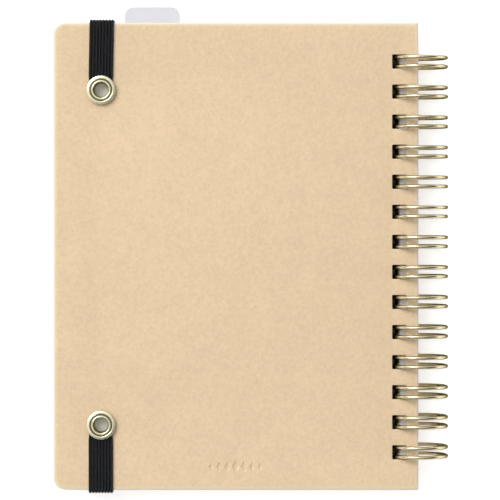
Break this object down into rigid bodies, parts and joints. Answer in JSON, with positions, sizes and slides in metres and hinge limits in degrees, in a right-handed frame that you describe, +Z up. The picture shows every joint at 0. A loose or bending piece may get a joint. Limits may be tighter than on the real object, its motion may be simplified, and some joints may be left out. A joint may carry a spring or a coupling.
{
  "type": "sketchbook",
  "caption": "Pocket sketchbook with kraft board covers, gold twin-loop wire binding, an index divider and a black elastic strap riveted to the back cover.",
  "frame": {"origin": "middle of the closed book's bounding box, on the surface that it lies on, front cover down", "axes": "+X from the fore-edge to the rings, +Y from the foot of the pages to their head, +Z up through the pages to the back cover"},
  "size_m": [0.1115, 0.1372, 0.0162],
  "materials": {
    "kraft_board": "natural kraft-papered greyboard, matt, fine fibres",
    "paper": "uncoated drawing paper, matt",
    "divider_film": "frosted polypropylene film",
    "gold_wire": "gold lacquered steel wire, glossy",
    "brass": "bright brass, polished",
    "black_elastic": "ribbed black woven elastic"
  },
  "bodies": {
    "front": {"front_cover": "kraft_board"},
    "sheet_01": {"sheet_01": "paper"},
    "sheet_02": {"sheet_02": "paper"},
    "sheet_03": {"sheet_03": "paper"},
    "sheet_04": {"sheet_04": "paper"},
    "sheet_05": {"sheet_05": "paper"},
    "sheet_06": {"sheet_06": "paper"},
    "sheet_07": {"sheet_07": "paper"},
    "sheet_08": {"sheet_08": "paper"},
    "sheet_09": {"sheet_09": "paper"},
    "sheet_10": {"sheet_10": "paper"},
    "sheet_11": {"sheet_11": "paper"},
    "sheet_12": {"sheet_12": "paper"},
    "sheet_13": {"sheet_13": "paper"},
    "divider": {"tab_divider": "divider_film"},
    "sheet_14": {"sheet_14": "paper"},
    "sheet_15": {"sheet_15": "paper"},
    "sheet_16": {"sheet_16": "paper"},
    "sheet_17": {"sheet_17": "paper"},
    "sheet_18": {"sheet_18": "paper"},
    "sheet_19": {"sheet_19": "paper"},
    "sheet_20": {"sheet_20": "paper"},
    "sheet_21": {"sheet_21": "paper"},
    "sheet_22": {"sheet_22": "paper"},
    "sheet_23": {"sheet_23": "paper"},
    "sheet_24": {"sheet_24": "paper"},
    "sheet_25": {"sheet_25": "paper"},
    "back": {"back_cover": "kraft_board", "twin_loop_wire": "gold_wire", "eyelet_upper": "brass", "eyelet_lower": "brass", "washer_upper": "brass", "washer_lower": "brass", "strap_end_upper": "black_elastic", "strap_end_lower": "black_elastic"},
    "strap": {"elastic_strap": "black_elastic"}
  },
  "joints": [
    {"name": "sheet_01_turn", "type": "hinge", "parent": "front", "child": "sheet_01", "pos_m": [0.04761, -0.00198, 0.00817], "axis": [0, 1, 0], "range_deg": [0, 180]},
    {"name": "sheet_02_turn", "type": "hinge", "parent": "sheet_01", "child": "sheet_02", "pos_m": [0.04761, -0.00198, 0.00817], "axis": [0, 1, 0], "range_deg": [0, 180]},
    {"name": "sheet_03_turn", "type": "hinge", "parent": "sheet_02", "child": "sheet_03", "pos_m": [0.04761, -0.00198, 0.00817], "axis": [0, 1, 0], "range_deg": [0, 180]},
    {"name": "sheet_04_turn", "type": "hinge", "parent": "sheet_03", "child": "sheet_04", "pos_m": [0.04761, -0.00198, 0.00817], "axis": [0, 1, 0], "range_deg": [0, 180]},
    {"name": "sheet_05_turn", "type": "hinge", "parent": "sheet_04", "child": "sheet_05", "pos_m": [0.04761, -0.00198, 0.00817], "axis": [0, 1, 0], "range_deg": [0, 180]},
    {"name": "sheet_06_turn", "type": "hinge", "parent": "sheet_05", "child": "sheet_06", "pos_m": [0.04761, -0.00198, 0.00817], "axis": [0, 1, 0], "range_deg": [0, 180]},
    {"name": "sheet_07_turn", "type": "hinge", "parent": "sheet_06", "child": "sheet_07", "pos_m": [0.04761, -0.00198, 0.00817], "axis": [0, 1, 0], "range_deg": [0, 180]},
    {"name": "sheet_08_turn", "type": "hinge", "parent": "sheet_07", "child": "sheet_08", "pos_m": [0.04761, -0.00198, 0.00817], "axis": [0, 1, 0], "range_deg": [0, 180]},
    {"name": "sheet_09_turn", "type": "hinge", "parent": "sheet_08", "child": "sheet_09", "pos_m": [0.04761, -0.00198, 0.00817], "axis": [0, 1, 0], "range_deg": [0, 180]},
    {"name": "sheet_10_turn", "type": "hinge", "parent": "sheet_09", "child": "sheet_10", "pos_m": [0.04761, -0.00198, 0.00817], "axis": [0, 1, 0], "range_deg": [0, 180]},
    {"name": "sheet_11_turn", "type": "hinge", "parent": "sheet_10", "child": "sheet_11", "pos_m": [0.04761, -0.00198, 0.00817], "axis": [0, 1, 0], "range_deg": [0, 180]},
    {"name": "sheet_12_turn", "type": "hinge", "parent": "sheet_11", "child": "sheet_12", "pos_m": [0.04761, -0.00198, 0.00817], "axis": [0, 1, 0], "range_deg": [0, 180]},
    {"name": "sheet_13_turn", "type": "hinge", "parent": "sheet_12", "child": "sheet_13", "pos_m": [0.04761, -0.00198, 0.00817], "axis": [0, 1, 0], "range_deg": [0, 180]},
    {"name": "divider_turn", "type": "hinge", "parent": "sheet_13", "child": "divider", "pos_m": [0.04761, -0.00198, 0.00817], "axis": [0, 1, 0], "range_deg": [0, 180]},
    {"name": "sheet_14_turn", "type": "hinge", "parent": "divider", "child": "sheet_14", "pos_m": [0.04761, -0.00198, 0.00817], "axis": [0, 1, 0], "range_deg": [0, 180]},
    {"name": "sheet_15_turn", "type": "hinge", "parent": "sheet_14", "child": "sheet_15", "pos_m": [0.04761, -0.00198, 0.00817], "axis": [0, 1, 0], "range_deg": [0, 180]},
    {"name": "sheet_16_turn", "type": "hinge", "parent": "sheet_15", "child": "sheet_16", "pos_m": [0.04761, -0.00198, 0.00817], "axis": [0, 1, 0], "range_deg": [0, 180]},
    {"name": "sheet_17_turn", "type": "hinge", "parent": "sheet_16", "child": "sheet_17", "pos_m": [0.04761, -0.00198, 0.00817], "axis": [0, 1, 0], "range_deg": [0, 180]},
    {"name": "sheet_18_turn", "type": "hinge", "parent": "sheet_17", "child": "sheet_18", "pos_m": [0.04761, -0.00198, 0.00817], "axis": [0, 1, 0], "range_deg": [0, 180]},
    {"name": "sheet_19_turn", "type": "hinge", "parent": "sheet_18", "child": "sheet_19", "pos_m": [0.04761, -0.00198, 0.00817], "axis": [0, 1, 0], "range_deg": [0, 180]},
    {"name": "sheet_20_turn", "type": "hinge", "parent": "sheet_19", "child": "sheet_20", "pos_m": [0.04761, -0.00198, 0.00817], "axis": [0, 1, 0], "range_deg": [0, 180]},
    {"name": "sheet_21_turn", "type": "hinge", "parent": "sheet_20", "child": "sheet_21", "pos_m": [0.04761, -0.00198, 0.00817], "axis": [0, 1, 0], "range_deg": [0, 180]},
    {"name": "sheet_22_turn", "type": "hinge", "parent": "sheet_21", "child": "sheet_22", "pos_m": [0.04761, -0.00198, 0.00817], "axis": [0, 1, 0], "range_deg": [0, 180]},
    {"name": "sheet_23_turn", "type": "hinge", "parent": "sheet_22", "child": "sheet_23", "pos_m": [0.04761, -0.00198, 0.00817], "axis": [0, 1, 0], "range_deg": [0, 180]},
    {"name": "sheet_24_turn", "type": "hinge", "parent": "sheet_23", "child": "sheet_24", "pos_m": [0.04761, -0.00198, 0.00817], "axis": [0, 1, 0], "range_deg": [0, 180]},
    {"name": "sheet_25_turn", "type": "hinge", "parent": "sheet_24", "child": "sheet_25", "pos_m": [0.04761, -0.00198, 0.00817], "axis": [0, 1, 0], "range_deg": [0, 180]},
    {"name": "back_cover_turn", "type": "hinge", "parent": "sheet_25", "child": "back", "pos_m": [0.04761, -0.00198, 0.00817], "axis": [0, 1, 0], "range_deg": [0, 180]},
    {"name": "elastic_release", "type": "hinge", "parent": "back", "child": "strap", "pos_m": [-0.04224, -0.00198, 0.00894], "axis": [0, 1, 0], "range_deg": [0, 180], "deforming": ["elastic_strap"]}
  ]
}
